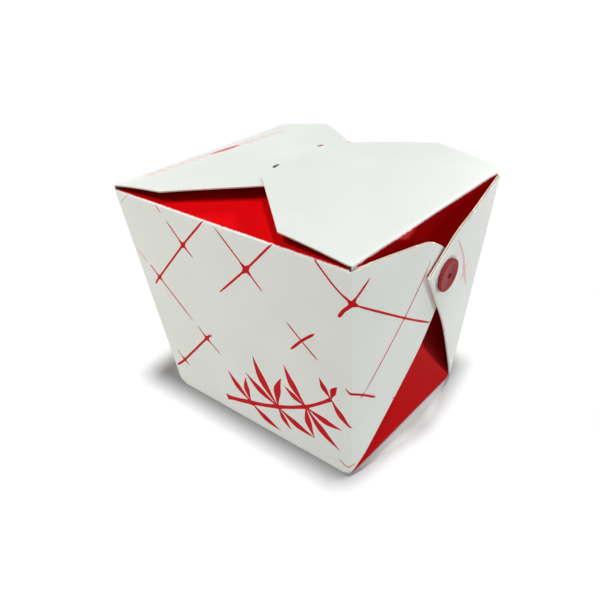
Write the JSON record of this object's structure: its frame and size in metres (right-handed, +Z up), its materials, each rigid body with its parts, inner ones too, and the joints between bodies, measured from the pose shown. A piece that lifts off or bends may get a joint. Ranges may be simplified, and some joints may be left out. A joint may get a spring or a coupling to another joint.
{
  "type": "noodle takeaway box",
  "caption": "Shut folded-board takeaway box that widens upwards, with tucked top flaps and corner webs pinned flat to its sides by round buttons.",
  "frame": {"origin": "middle of the base, on the surface it stands on", "axes": "+Z up; the printed front face looks along -Y; the side panels with their pinned corner webs and buttons look along +X and -X; the top flap that lies over the other is hinged at +X"},
  "size_m": [0.1216, 0.0948, 0.1011],
  "materials": {
    "board": "smooth coated off-white board, printed red in places, satin",
    "button": "moulded, satin dark red"
  },
  "bodies": {
    "root": {"carton": "board", "button_right": "button", "button_left": "button"}
  },
  "joints": []
}
